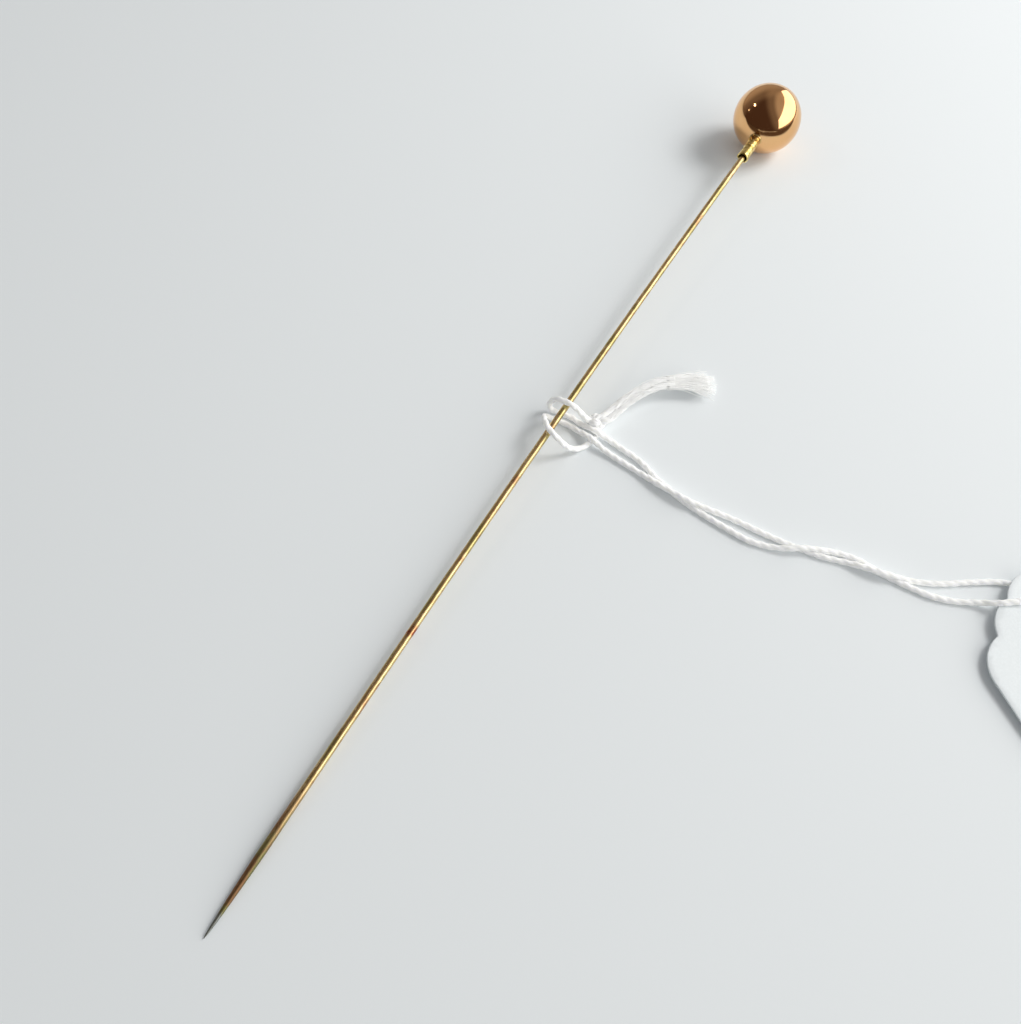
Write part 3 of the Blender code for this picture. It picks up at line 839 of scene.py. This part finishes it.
class Soft:
    """Points, faces and the fibres' direction of one soft piece as it is put together."""

    def __init__(self):
        self.points, self.faces, self.lay = [], [], []

    def tube(self, line, section, lay):
        """section(i) gives ring i's offsets in its two normals; lay(i) its texture places."""
        _, first, second = carried_frames(line)
        start = len(self.points)
        count = 0
        for row, centre in enumerate(line):
            ring = section(row)
            count = len(ring)
            for (across, up), place in zip(ring, lay(row)):
                point = centre + first[row] * across + second[row] * up
                self.points.append((point[0], point[1], max(point[2], 0.0)))
                self.lay.append(place)
        for row in range(len(line) - 1):
            low = start + row * count
            for step in range(count):
                after = (step + 1) % count
                self.faces.append(
                    (low + step, low + after, low + count + after, low + count + step)
                )
        self.faces.append(tuple(start + step for step in reversed(range(count))))
        last = start + (len(line) - 1) * count
        self.faces.append(tuple(last + step for step in range(count)))

    def twisted(self, line, radius, pitch, sides=18, seed=0.0, swell=None):
        """Two plies laid round each other, each a lobe of one section."""
        along = lengths(line)

        def radius_at(row):
            uneven = noise.noise(Vector((along[row] * 0.55, seed, 0.3)))
            fine = noise.noise(Vector((along[row] * 2.1, seed, 5.3)))
            grown = 1 + 0.07 * uneven + 0.05 * fine
            return radius * grown * (swell(along[row] / along[-1]) if swell else 1.0)

        def section(row):
            size = radius_at(row)
            slip = 0.5 * noise.noise(Vector((along[row] * 0.3, seed, 9.1)))
            lead = math.tau * along[row] / pitch + slip
            ring = []
            for step in range(sides):
                turn = math.tau * step / sides
                lobe = turn - lead
                r = PLY_OFFSET * abs(math.cos(lobe))
                r += math.sqrt(PLY_RADIUS**2 - (PLY_OFFSET * math.sin(lobe)) ** 2)
                r += (ROUND_RADIUS - r) * ROUND_SHARE
                ring.append((size * r * math.cos(turn), size * r * math.sin(turn)))
            return ring

        def lay(row):
            lead = math.tau * along[row] / pitch
            turns = [math.tau * step / sides - lead for step in range(sides)]
            return [(math.cos(t), math.sin(t), along[row] + seed) for t in turns]

        self.tube(line, section, lay)

    def fibre(self, line, radius, seed, sides=4):
        """One loose fibre or a small bundle, thinning to its end."""
        rows = len(line) - 1

        def section(row):
            size = radius * (1 - 0.75 * (row / rows) ** 2)
            turns = [math.tau * step / sides for step in range(sides)]
            return [(size * math.cos(t), size * math.sin(t)) for t in turns]

        def lay(row):
            return [(math.cos(step), math.sin(step), seed + 0.3 * row) for step in range(sides)]

        self.tube(line, section, lay)

    def fuzz(self, line, radius, per_mm, chance, longest=1.1):
        """Short hairs that stand off the thread."""
        tangents, first, second = carried_frames(line)
        total = lengths(line)[-1]
        for _ in range(int(total * per_mm)):
            row = chance.randrange(2, len(line) - 2)
            turn = chance.uniform(0, math.tau)
            out = first[row] * math.cos(turn) + second[row] * math.sin(turn)
            lead = tangents[row] * chance.choice((-1, 1))
            reach = chance.uniform(0.35, longest)
            lift = chance.uniform(0.12, 0.38)
            curl = unit(np.cross(lead, out)) * chance.uniform(-0.35, 0.35)
            hair = []
            for step in range(5):
                t = step / 4
                place = line[row] + out * (radius * 0.7 + lift * math.sin(t * 2.2))
                place = place + lead * reach * t + curl * t * t
                hair.append((place[0], place[1], max(place[2], 0.03)))
            self.fibre(np.array(hair), chance.uniform(0.010, 0.018), chance.uniform(0, 90), 3)

    def build(self, name):
        """The cotton object of all that was put together."""
        return make_object(
            name, self.points, self.faces, MATERIALS["cotton"], attributes={"lay": self.lay}
        )


def make_thread():
    """The whole loop of thread: out of the knot, round the stem, to the card and back."""
    route = [KNOT_EXIT] + UPPER_TURN_ROUTE + STRAND_ROUTE + LOWER_TURN_ROUTE[::-1] + [KNOT_ENTRY]
    line = evenly(smooth_route(route), RING_SPACING)
    soft = Soft()
    soft.twisted(line, VISUAL_RADIUS, THREAD_PITCH, sides=20)
    soft.fuzz(line, VISUAL_RADIUS, 4.0, random.Random(11), 1.5)
    obj = soft.build("thread_loop")
    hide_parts("hitch_turn_upper", "hitch_turn_lower", "ticket_string")
    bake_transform(obj)
    return obj, line


# The knot's trefoils: each one's tilt, spin and size.
KNOT_LOOPS = [(0.35, 0.3, 0.37), (-0.45, 1.5, 0.35), (0.1, 2.4, 0.30)]


def trefoil(steps=96):
    """Points along a trefoil of unit size, which stops just short of its start."""
    points = []
    for step in range(steps + 1):
        t = math.tau * step / steps * 0.985
        wide = 2 + math.cos(3 * t)
        points.append((wide * math.cos(2 * t), wide * math.sin(2 * t), math.sin(3 * t) * 1.1))
    return np.array(points)


def make_knot():
    """Both ends tied together in one tight overhand knot, drawn as three trefoils of thread."""
    soft = Soft()
    centre = np.array(KNOT_CENTRE)
    for index, (tilt, spin, size) in enumerate(KNOT_LOOPS):
        turn = np.array(Euler((tilt, 0.2 - 0.5 * index, spin)).to_matrix())
        loop = [centre + turn @ (place * size) for place in trefoil()]
        line = evenly(np.array(loop), 0.12)
        soft.twisted(line, VISUAL_RADIUS * 0.94, THREAD_PITCH * 0.8, seed=20.0 + index)
        soft.fuzz(line, VISUAL_RADIUS, 2.5, random.Random(31 + index), 0.8)
    obj = soft.build("thread_knot")
    return settle(obj, "ticket", "ticket_knot")


def strand(line, across, up, wave, spread):
    """A filament beside a line: its sideways and upward offset, each scaled by spread(share)."""
    tangents, _, _ = carried_frames(line)
    hair = []
    for row, centre in enumerate(line):
        share = row / (len(line) - 1)
        wide = spread(share)
        side = unit(np.cross(tangents[row], (0, 0, 1)))
        place = centre + side * (across * wide + 0.10 * wide * math.sin(wave + share * 9))
        height = place[2] + up * wide + 0.06 * wide * math.cos(wave * 2 + share * 7)
        hair.append((place[0], place[1], max(0.06, height)))
    return np.array(hair)


# A tail: how high it arches, how long its brush is, how many rings its twisted stalk reaches into
# the brush, and how many filaments lie along it and in the brush.
TAIL_ARCH = 1.9
BRUSH_LENGTH = 9.0
STALK_OVERLAP = 10
COARSE_FILAMENTS = 34
BRUSH_FILAMENTS = 120


def make_tail(name, route, node_name, seed):
    """A cut end of the thread that loosens into a fluffy band, and then into a brush."""
    chance = random.Random(seed)
    soft = Soft()
    line = evenly(smooth_route([KNOT_CENTRE] + route), RING_SPACING)
    arch = np.sin(np.linspace(0, math.pi, len(line))) ** 0.8
    line[:, 2] += TAIL_ARCH * arch
    brush = int(BRUSH_LENGTH / RING_SPACING)
    stalk = line[: len(line) - brush + STALK_OVERLAP]
    soft.twisted(
        stalk, VISUAL_RADIUS, THREAD_PITCH * 1.3, seed=seed,
        swell=lambda share: 1.0 + 0.45 * math.exp(-share * 5),
    )
    soft.fuzz(stalk, VISUAL_RADIUS, 6.0, chance, 1.8)
    coarse = evenly(line, 0.7)
    for _ in range(COARSE_FILAMENTS):
        first = chance.randrange(2, max(3, len(coarse) // 2))
        last = min(len(coarse), first + chance.randrange(8, 20))
        hair = strand(
            coarse[first:last], chance.gauss(0, 0.42), abs(chance.gauss(0, 0.28)),
            chance.uniform(0, math.tau), lambda share: 0.85 + 0.3 * share,
        )
        soft.fibre(hair, chance.uniform(0.05, 0.10), chance.uniform(0, 90), 5)
    fan = evenly(line[len(line) - brush - 1 :], 0.6)
    for _ in range(BRUSH_FILAMENTS):
        keep = max(5, int(len(fan) * chance.uniform(0.72, 1.0)))
        hair = strand(
            fan[:keep], chance.gauss(0, 0.66), chance.gauss(0.05, 0.26),
            chance.uniform(0, math.tau), lambda share: 0.45 + 0.75 * share**1.3,
        )
        soft.fibre(hair, chance.uniform(0.05, 0.11), chance.uniform(0, 90), 5)
    obj = soft.build(name)
    return settle(obj, "ticket", node_name)


# ---------------------------------------------------------------- the card


def bulge(start, end, rise, steps):
    """Points along an arc from start to end that stands out to the left of its chord."""
    start, end = Vector(start), Vector(end)
    chord = end - start
    if rise == 0:
        return [start + chord * step / steps for step in range(steps)]
    half = chord.length / 2
    radius = (half**2 + rise**2) / (2 * rise)
    left = Vector((-chord.y, chord.x)).normalized()
    centre = (start + end) / 2 - left * (radius - rise)
    sweep = 2 * math.asin(half / radius)
    turns = [-sweep * step / steps for step in range(steps)]
    return [centre + Matrix.Rotation(turn, 2) @ (start - centre) for turn in turns]


def card_outline(steps):
    """The scalloped edge, clockwise from the bump over the hole; the top edge is y = 0."""
    corners = [CARD_BUMP_CORNER] + [corner for corner, _ in CARD_SCALLOPS]
    rises = [rise for _, rise in CARD_SCALLOPS]
    top_right = [(x, -y) for x, y in corners]
    bottom_right = [(x, y - CARD_LENGTH) for x, y in reversed(corners)]
    right = top_right + bottom_right
    left = [(-x, y) for x, y in reversed(right)]
    side = rises + [0] + rises[::-1]
    loop = right + left
    loop_rises = side + [CARD_BUMP_RISE] + side + [CARD_BUMP_RISE]
    points = []
    for index, corner in enumerate(loop):
        points += bulge(corner, loop[(index + 1) % len(loop)], loop_rises[index], steps)
    return points


CARD_SOFT_EDGE = 0.07
CARD_BEVEL = 0.02
CARD_WARP = 0.12
CARD_LONGEST_EDGE = 1.6


def card_sheet():
    """The card's flat outline with its punched hole, filled with even triangles."""
    shape = bmesh.new()
    hole = []
    for step in range(40):
        turn = math.tau * step / 40
        x = CARD_HOLE_RADIUS * math.cos(turn)
        hole.append(Vector((x, CARD_HOLE_RADIUS * math.sin(turn) - CARD_HOLE_FROM_TOP)))
    for outline in (card_outline(14), hole):
        ring = [shape.verts.new((p.x, p.y, 0)) for p in outline]
        for first, second in zip(ring, ring[1:] + ring[:1]):
            shape.edges.new((first, second))
    bmesh.ops.triangle_fill(shape, use_beauty=True, edges=shape.edges[:])
    for _ in range(6):
        inner = [e for e in shape.edges if not e.is_boundary]
        long = [e for e in inner if e.calc_length() > CARD_LONGEST_EDGE]
        if not long:
            break
        bmesh.ops.subdivide_edges(shape, edges=long, cuts=1)
        bmesh.ops.triangulate(shape, faces=shape.faces[:])
        inner = [e for e in shape.edges if not e.is_boundary]
        bmesh.ops.beautify_fill(shape, faces=shape.faces[:], edges=inner)
    return shape


def inward_pulls(verts):
    """The direction into the card at each vertex on its edge or its hole, by the vertex's index."""
    pulls = {}
    for vert in verts:
        edges = [e for e in vert.link_edges if e.is_boundary]
        if not edges:
            continue
        pull = Vector((0, 0, 0))
        for edge in edges:
            run = edge.verts[1].co - edge.verts[0].co
            across = Vector((-run.y, run.x, 0)).normalized()
            inside = edge.link_faces[0].calc_center_median() - edge.verts[0].co
            pull += across if across.dot(inside) > 0 else -across
        pulls[vert.index] = pull.normalized()
    return pulls


def card_place(vert, pull, reach, level):
    """A vertex drawn into the card by reach, at a level of the slightly warped card."""
    x = vert.co.x + pull.x * reach
    y = vert.co.y + pull.y * reach
    return (x, y, level + CARD_WARP * noise.noise(Vector((x * 0.09, y * 0.09, 2.0))))


def card_body(shape):
    """Points and faces of both sides of the sheet, and of the softened edge between them."""
    half = CARD_THICKNESS / 2
    rim = [(half - CARD_BEVEL, CARD_BEVEL), (half - CARD_SOFT_EDGE, 0.0)]
    rim += [(-level, reach) for level, reach in reversed(rim)]
    verts = list(shape.verts)
    for index, vert in enumerate(verts):
        vert.index = index
    pulls = inward_pulls(verts)
    still = Vector((0, 0, 0))
    points, faces, columns = [], [], {}
    for level in (half, -half):
        for vert in verts:
            pull = pulls.get(vert.index, still)
            points.append(card_place(vert, pull, CARD_SOFT_EDGE, level))
    for vert in verts:
        if vert.index in pulls:
            rows = range(len(points), len(points) + len(rim))
            points += [card_place(vert, pulls[vert.index], reach, level) for level, reach in rim]
            columns[vert.index] = [vert.index, *rows, len(verts) + vert.index]
    for face in shape.faces:
        ids = [v.index for v in face.verts]
        faces.append(tuple(ids))
        faces.append(tuple(len(verts) + i for i in reversed(ids)))
    for edge in shape.edges:
        if edge.is_boundary:
            a, b = (columns[v.index] for v in edge.verts)
            for row in range(len(rim) + 1):
                faces.append((a[row], b[row], b[row + 1], a[row + 1]))
    return points, faces


def make_card():
    """The ticket: die-cut card, which leans on the thread under its top edge."""
    shape = card_sheet()
    points, faces = card_body(shape)
    shape.free()
    tip = math.asin(CARD_LIFT / CARD_LENGTH)
    place = Matrix.Translation((*CARD_TOP_MIDDLE, CARD_LIFT + CARD_THICKNESS / 2))
    both = np.array(place @ Euler((tip, 0, CARD_TURN)).to_matrix().to_4x4())
    placed = np.asarray(points) @ both[:3, :3].T + both[:3, 3]
    obj = outward(make_object("ticket_card_sheet", placed, faces, MATERIALS["card"]))
    return settle(obj, "ticket", "ticket_card")


# ---------------------------------------------------------------- assembly

bpy.context.scene.view_settings.view_transform = "Standard"
make_camera()
MATERIALS = {
    "rose": rose_gold(),
    "yellow": yellow_gold(),
    "gilt": gilt_steel(),
    "solder": solder(),
    "cotton": cotton(),
    "card": card_stock(),
}

thread, thread_line = make_thread()
knot = make_knot()
long_tail = make_tail("tail_long", LONG_TAIL_ROUTE, "ticket_tail_long", 41)
short_tail = make_tail("tail_short", SHORT_TAIL_ROUTE, "ticket_tail_short", 43)
card = make_card()

make_head()
make_collar()
make_fillet()
make_stem()
for name in ("seam_solder", "stem_solder"):
    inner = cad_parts[name]
    inner.data.materials.clear()
    inner.data.materials.append(MATERIALS["solder"])

make_floor()
make_world()
make_window()
make_daylight()
make_lamps()
